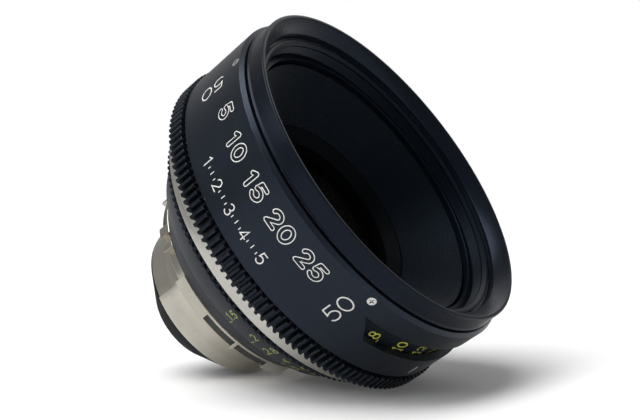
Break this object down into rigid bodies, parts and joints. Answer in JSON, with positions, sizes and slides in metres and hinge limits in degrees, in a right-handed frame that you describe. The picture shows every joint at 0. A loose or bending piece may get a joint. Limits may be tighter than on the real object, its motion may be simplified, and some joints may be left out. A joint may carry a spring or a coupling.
{
  "type": "prime lens",
  "caption": "Cine prime lens with a geared focus ring and a geared iris ring, scale windows, deep ridged front funnel and a bare metal bayonet mount.",
  "frame": {"origin": "on the optical axis at the rear end, where the lens stands on its rear shroud", "axes": "+Z along the optical axis towards the front; +X points 65 degrees short of the middle of the first scale window, counted by the right-hand rule about +Z"},
  "size_m": [0.1088, 0.1088, 0.0873],
  "materials": {
    "body_black": "satin blue-black anodised",
    "gear_black": "black anodised gear teeth",
    "scale_black": "satin anodised, scale carriers",
    "barrel_black": "satin anodised",
    "shroud_black": "satin black",
    "bare_aluminium": "fine turned, bare",
    "bare_steel": "satin stainless",
    "brass": "machined",
    "baffle_black": "matt black, ridged",
    "cam_steel": "blackened steel",
    "glass": "polished, coated",
    "blade_steel": "blackened spring steel"
  },
  "bodies": {
    "housing": {"front_ring": "body_black", "thread_ring": "body_black", "front_housing": "body_black", "housing_screws": "bare_steel", "main_barrel": "body_black", "spacer_ring": "bare_aluminium", "focus_stop_pins": "bare_steel", "rear_barrel": "barrel_black", "mount_shim": "bare_steel", "mount_flange": "bare_steel", "mount_screws": "bare_steel", "rear_shroud": "shroud_black"},
    "focus_ring": {"focus_gear_ring": "gear_black", "focus_sleeve": "brass", "focus_scale_ring": "scale_black", "focus_stop_block": "brass"},
    "iris_ring": {"iris_gear_ring": "gear_black", "iris_scale_ring": "scale_black"},
    "optics": {"front_funnel": "baffle_black", "front_cell": "baffle_black", "front_retaining_ring": "baffle_black", "doublet_retaining_ring": "baffle_black", "lens_1": "glass", "lens_2": "glass", "lens_3": "glass", "lens_4": "glass", "lens_5": "glass", "lens_6": "glass", "lens_7": "glass", "rear_cell": "shroud_black", "rear_spacer": "baffle_black", "rear_retaining_ring": "baffle_black", "tail_retaining_ring": "baffle_black", "optics_carrier": "baffle_black", "helicoid_keys": "brass", "iris_housing": "baffle_black", "iris_cover": "baffle_black"},
    "iris_cam": {"iris_cam_ring": "cam_steel", "iris_drive_pin": "cam_steel"},
    "blade_1": {"iris_blade_1": "blade_steel"},
    "blade_2": {"iris_blade_2": "blade_steel"},
    "blade_3": {"iris_blade_3": "blade_steel"},
    "blade_4": {"iris_blade_4": "blade_steel"},
    "blade_5": {"iris_blade_5": "blade_steel"},
    "blade_6": {"iris_blade_6": "blade_steel"},
    "blade_7": {"iris_blade_7": "blade_steel"},
    "blade_8": {"iris_blade_8": "blade_steel"},
    "blade_9": {"iris_blade_9": "blade_steel"}
  },
  "joints": [
    {"name": "focus_turn", "type": "hinge", "parent": "housing", "child": "focus_ring", "pos_m": [0, 0, 0.055], "axis": [0, 0, 1], "range_deg": [-46, 197]},
    {"name": "optics_slide", "type": "slide", "parent": "housing", "child": "optics", "axis": [0, 0, 1], "range_m": [-0.00067, 0.00285]},
    {"name": "iris_turn", "type": "hinge", "parent": "housing", "child": "iris_ring", "pos_m": [0, 0, 0.042], "axis": [0, 0, 1], "range_deg": [-8, 58]},
    {"name": "iris_cam_turn", "type": "hinge", "parent": "optics", "child": "iris_cam", "pos_m": [0, 0, 0.0405], "axis": [0, 0, 1], "range_deg": [-8.01, 58.01]},
    {"name": "blade_1_swing", "type": "hinge", "parent": "optics", "child": "blade_1", "pos_m": [0.0258, 0, 0.035], "axis": [0, 0, 1], "range_deg": [-26.95, 3.75]},
    {"name": "blade_2_swing", "type": "hinge", "parent": "optics", "child": "blade_2", "pos_m": [0.01976, 0.01658, 0.035], "axis": [0, 0, 1], "range_deg": [-26.95, 3.75]},
    {"name": "blade_3_swing", "type": "hinge", "parent": "optics", "child": "blade_3", "pos_m": [0.00448, 0.02541, 0.035], "axis": [0, 0, 1], "range_deg": [-26.95, 3.75]},
    {"name": "blade_4_swing", "type": "hinge", "parent": "optics", "child": "blade_4", "pos_m": [-0.0129, 0.02234, 0.035], "axis": [0, 0, 1], "range_deg": [-26.95, 3.75]},
    {"name": "blade_5_swing", "type": "hinge", "parent": "optics", "child": "blade_5", "pos_m": [-0.02424, 0.00882, 0.035], "axis": [0, 0, 1], "range_deg": [-26.95, 3.75]},
    {"name": "blade_6_swing", "type": "hinge", "parent": "optics", "child": "blade_6", "pos_m": [-0.02424, -0.00882, 0.035], "axis": [0, 0, 1], "range_deg": [-26.95, 3.75]},
    {"name": "blade_7_swing", "type": "hinge", "parent": "optics", "child": "blade_7", "pos_m": [-0.0129, -0.02234, 0.035], "axis": [0, 0, 1], "range_deg": [-26.95, 3.75]},
    {"name": "blade_8_swing", "type": "hinge", "parent": "optics", "child": "blade_8", "pos_m": [0.00448, -0.02541, 0.035], "axis": [0, 0, 1], "range_deg": [-26.95, 3.75]},
    {"name": "blade_9_swing", "type": "hinge", "parent": "optics", "child": "blade_9", "pos_m": [0.01976, -0.01658, 0.035], "axis": [0, 0, 1], "range_deg": [-26.95, 3.75]}
  ],
  "couplings": [
    {"joint": "optics_slide", "follows": "focus_turn", "m_per_rad": 0.00082761},
    {"joint": "iris_cam_turn", "follows": "iris_turn", "ratio": 1},
    {"joint": "blade_1_swing", "follows": "iris_turn", "ratio": -0.46379},
    {"joint": "blade_2_swing", "follows": "iris_turn", "ratio": -0.46379},
    {"joint": "blade_3_swing", "follows": "iris_turn", "ratio": -0.46379},
    {"joint": "blade_4_swing", "follows": "iris_turn", "ratio": -0.46379},
    {"joint": "blade_5_swing", "follows": "iris_turn", "ratio": -0.46379},
    {"joint": "blade_6_swing", "follows": "iris_turn", "ratio": -0.46379},
    {"joint": "blade_7_swing", "follows": "iris_turn", "ratio": -0.46379},
    {"joint": "blade_8_swing", "follows": "iris_turn", "ratio": -0.46379},
    {"joint": "blade_9_swing", "follows": "iris_turn", "ratio": -0.46379}
  ]
}
